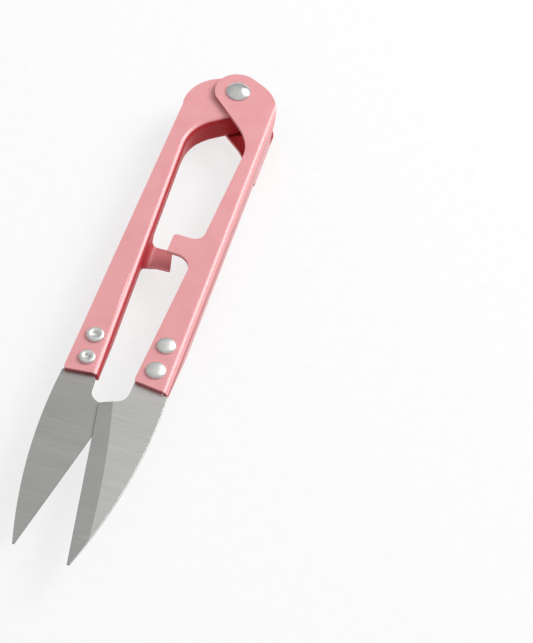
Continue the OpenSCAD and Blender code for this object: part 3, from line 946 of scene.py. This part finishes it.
def nickel(name, rough):
    """Plating with handling scuffs and slightly cloudy patches."""
    mat, tree, shader, coords = material(name)
    cloud = noise(tree, coords, 900, detail=3)
    scuff = noise(tree, coords, 2200, stretch=(1, 0.25, 1), turn=35, detail=6, rough=0.75)
    tree.links.new(blend_colour(tree, spread(tree, cloud, 0, 1), (0.74, 0.74, 0.73), (0.86, 0.86, 0.85)),
                   shader.inputs["Base Color"])
    tree.links.new(spread(tree, scuff, rough - 0.04, rough + 0.06), shader.inputs["Roughness"])
    shader.inputs["Metallic"].default_value = 1
    bump(tree, shader, scuff, 0.003)
    bump(tree, shader, cloud, 0.012)
    return mat


def wire_steel():
    """Drawn spring wire: dull, with die lines and a trace of oil tint."""
    mat, tree, shader, coords = material("drawn_wire")
    lines = noise(tree, coords, 3000, stretch=(1, 1, 0.2), detail=5, rough=0.7)
    tint = noise(tree, coords, 400, detail=2)
    tree.links.new(blend_colour(tree, spread(tree, tint, 0, 1), (0.33, 0.34, 0.36), (0.43, 0.42, 0.40)),
                   shader.inputs["Base Color"])
    tree.links.new(spread(tree, lines, 0.28, 0.42), shader.inputs["Roughness"])
    shader.inputs["Metallic"].default_value = 1
    bump(tree, shader, lines, 0.006)
    return mat


def paper():
    """Thin white paper over a light table, so that shadows on it are faint."""
    mat, tree, shader, coords = material("pale_paper")
    grain = noise(tree, coords, 500, detail=4)
    tree.links.new(blend_colour(tree, spread(tree, grain, 0, 1), (0.21, 0.21, 0.21), (0.23, 0.23, 0.23)),
                   shader.inputs["Base Color"])
    shader.inputs["Emission Color"].default_value = (1, 1, 1, 1)
    shader.inputs["Emission Strength"].default_value = 0.74
    shader.inputs["Roughness"].default_value = 0.9
    shader.inputs["Specular IOR Level"].default_value = 0.1
    bump(tree, shader, grain, 0.01)
    return mat


# ---- the pieces ----
def finish_piece(obj, node, body, slot, *materials):
    for mat in materials:
        obj.data.materials.append(mat)
    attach(obj, body)
    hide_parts(node)
    return obj


def mark_fold_shade(obj, depth):
    """Stores the painted shade of each point, from 0 to 1, for the enamel: how deep inside the folds it lies,
    and the shade on the stamped edges.
    """
    layer = obj.data.attributes.new("fold_shade", "FLOAT", "POINT")
    layer.data.foreach_set("value", [depth(v.co / MM, v.normal) for v in obj.data.vertices])


def stamped_edge_shade(co, normal):
    """Painted shade on the stamped edges: they are made darker than the flat of the sheet, most of all the
    end faces at the blade end.
    """
    if normal.z > 0.3:
        return 0
    return 1 if co.y < -60 and normal.y < -0.6 else 0.3 * (abs(normal.x) < 0.9)


# Painted shade on the right handle: the web's inner face, the plate's underside, the back cheek's top, the
# shoulder and the stamped edges.
def shade_inside_right(co, normal):
    facing_in = max(0, -normal.x) * (co.x > 5) * (co.z < RIGHT_TOP - 0.3)
    under = max(0, -normal.z) * (co.z > LEFT_BACK + 2)
    on_cheek = (normal.z > 0.3) * (co.z < LEFT_BACK + 0.1)
    at_shoulder = (co.x > 7) * (co.y > -7) * (co.z < LEFT_BACK + SHEET)
    return min(1, max(facing_in, under, on_cheek, at_shoulder, stamped_edge_shade(co, normal)))


# Painted shade on the left handle: its wall below the fold's highlight, half as strong out on the tab, and
# the stamped edges.
def shade_inside_left(co, normal):
    below = min(1, max(0, (LEFT_TOP - 0.26 - co.z) / 0.15)) * (co.y < -3 or normal.z > 0.3)
    out_on_tab = min(1, max(0, (co.x + inner_x(-co.y)) / 1.5)) * (co.y < -30)
    return max(below * (1 - 0.5 * out_on_tab), stamped_edge_shade(co, normal))


PINK = enamel()
BRIGHT_NICKEL = nickel("bright_nickel", 0.21)
SATIN_NICKEL = nickel("satin_nickel", 0.40)
FLAT_STEEL = ground_steel("ground_steel", (0.42, 0.415, 0.40), (0.50, 0.495, 0.48), 4, 0.42)
BRIGHT_STEEL = ground_steel("bright_ground_steel", (0.58, 0.575, 0.56), (0.66, 0.655, 0.64), -6, 0.42)
BEVEL_STEEL = ground_steel("bevel_steel", (0.49, 0.49, 0.48), (0.57, 0.57, 0.56), 14, 0.40)
# painted shade on the blades' sheared sides: a near-black steel, on all sides of the left blade and on the
# right blade's sides that face away from the key
SHEARED_EDGE_SHADE = ground_steel("sheared_edge_shade", (0.13, 0.13, 0.125), (0.24, 0.24, 0.23), 40, 0.45)

RIGHT_RIVETS = [centre_of("right_upper_rivet"), centre_of("right_lower_rivet")]
LEFT_RIVETS = [centre_of("left_upper_rivet"), centre_of("left_lower_rivet")]

right_handle = right_handle_surface()
thicken(right_handle, [(0, 0, PIVOT_R + 0.02, -1, 8)] + [(x, y, RIVET_R, 3, 8) for x, y in RIGHT_RIVETS])
soften_edges(right_handle, EDGE)
mark_fold_shade(right_handle, shade_inside_right)
finish_piece(right_handle, "right_handle", "right_half", "handle_paint", PINK)

left_handle = left_handle_surface()
thicken(left_handle, [(0, 0, PIVOT_R + 0.05, -1, 8), (*HOOK, WIRE_D / 2 + 0.1, 0, 3)]
        + [(x, y, RIVET_R, 3, 8) for x, y in LEFT_RIVETS])
soften_edges(left_handle, EDGE)
mark_fold_shade(left_handle, shade_inside_left)
finish_piece(left_handle, "left_handle", "left_half", "handle_paint", PINK)

FIT = 0.02
right_tang = [(inner_x(y) + 0.1, web_at(y) - FOLD - FIT) for y in (TANG_TOP, HANDLE_LEN)]
left_tang = [(inner_x(y) + FOLD + 3 * FIT, outer) for y, outer in ((TANG_TOP, 8.6), (HANDLE_LEN, 8.7))]
right_blade = blade("right_blade_ground", right_tang, right_tang[1][0], RIGHT_SLANT, BLADE_REACH,
                    RIGHT_BLADE_TOP, RIGHT_RIVETS)
finish_piece(right_blade, "right_blade", "right_half", "blade_steel",
             BRIGHT_STEEL, BEVEL_STEEL, SHEARED_EDGE_SHADE)
left_blade = blade("left_blade_ground", left_tang, inner_x(HANDLE_LEN) + LEFT_NECK_IN, LEFT_SLANT,
                   BLADE_REACH - LEFT_TRIM, LEFT_BLADE_TOP, LEFT_RIVETS, left=True)
finish_piece(left_blade, "left_blade", "left_half", "blade_steel",
             FLAT_STEEL, BEVEL_STEEL, SHEARED_EDGE_SHADE)

finish_piece(pivot_rivet(), "pivot_rivet", "right_half", "rivet_metal", BRIGHT_NICKEL)
finish_piece(pivot_spacer(), "pivot_spacer", "right_half", "rivet_metal", BRIGHT_NICKEL)
finish_piece(pivot_spring(), "pivot_spring", "right_half", "spring_wire", wire_steel())
for side, seat, up in (("right", RIGHT_BLADE_TOP - SHEET, True), ("left", LEFT_TOP, False)):
    for place in ("upper", "lower"):
        node = f"{side}_{place}_rivet"
        finish_piece(blade_rivet(node, seat, up), node, side + "_half", "rivet_metal", SATIN_NICKEL)


# ---- floor, light and camera ----
def floor():
    bm = bmesh.new()
    bmesh.ops.create_grid(bm, x_segments=8, y_segments=8, size=2500)
    bmesh.ops.translate(bm, vec=(0, 0, cad_bounds[0].z / MM - 0.02), verts=bm.verts)
    obj = new_object("floor", bm)
    obj.data.materials.append(paper())


def softbox(name, direction, distance, width, height, power):
    """An area light that looks at the middle of the snips from a direction, distances in mm."""
    light = bpy.data.lights.new(name, "AREA")
    light.shape = "RECTANGLE"
    light.size = width * MM
    light.size_y = height * MM
    light.energy = power
    obj = bpy.data.objects.new(name, light)
    bpy.context.scene.collection.objects.link(obj)
    middle = (cad_bounds[0] + cad_bounds[1]) / 2
    towards = Vector(direction).normalized()
    obj.location = middle + towards * distance * MM
    obj.rotation_mode = "QUATERNION"
    obj.rotation_quaternion = towards.to_track_quat("Z", "Y")


def surroundings(horizon, zenith):
    """White surroundings that get brighter from the horizon up."""
    world = bpy.data.worlds.new("studio")
    world.use_nodes = True
    tree = world.node_tree
    background = tree.nodes["Background"]
    background.inputs["Color"].default_value = (1, 1, 1, 1)
    split = tree.nodes.new("ShaderNodeSeparateXYZ")
    tree.links.new(tree.nodes.new("ShaderNodeTexCoord").outputs["Generated"], split.inputs[0])
    tree.links.new(spread(tree, split.outputs["Z"], horizon, zenith, 0, 1), background.inputs["Strength"])
    bpy.context.scene.world = world


def camera(azimuth, elevation, roll, target, distance, lens):
    """A long-lens camera; the roll turns the picture's top to the left."""
    cam = bpy.data.objects.new("camera", bpy.data.cameras.new("camera"))
    bpy.context.scene.collection.objects.link(cam)
    a, e = math.radians(azimuth), math.radians(elevation)
    back = Vector((math.sin(a) * math.cos(e), -math.cos(a) * math.cos(e), math.sin(e)))
    cam.location = (Vector(target) + back * distance) * MM
    cam.rotation_mode = "QUATERNION"
    cam.rotation_quaternion = (-back).to_track_quat("-Z", "Y") @ Quaternion((0, 0, 1), math.radians(roll))
    cam.data.sensor_width = 36
    cam.data.lens = lens
    cam.data.clip_start = 0.01
    cam.data.clip_end = 20
    bpy.context.scene.camera = cam


floor()
surroundings(0.32, 0.66)
softbox("key", (0.55, 0.6, 0.6), 600, 320, 320, 3.0)
camera(11.2165, 51.825, 7.344, (19.607, -46.901, 6.7), 489.687, 164.975)
bpy.context.scene.view_settings.view_transform = "Standard"
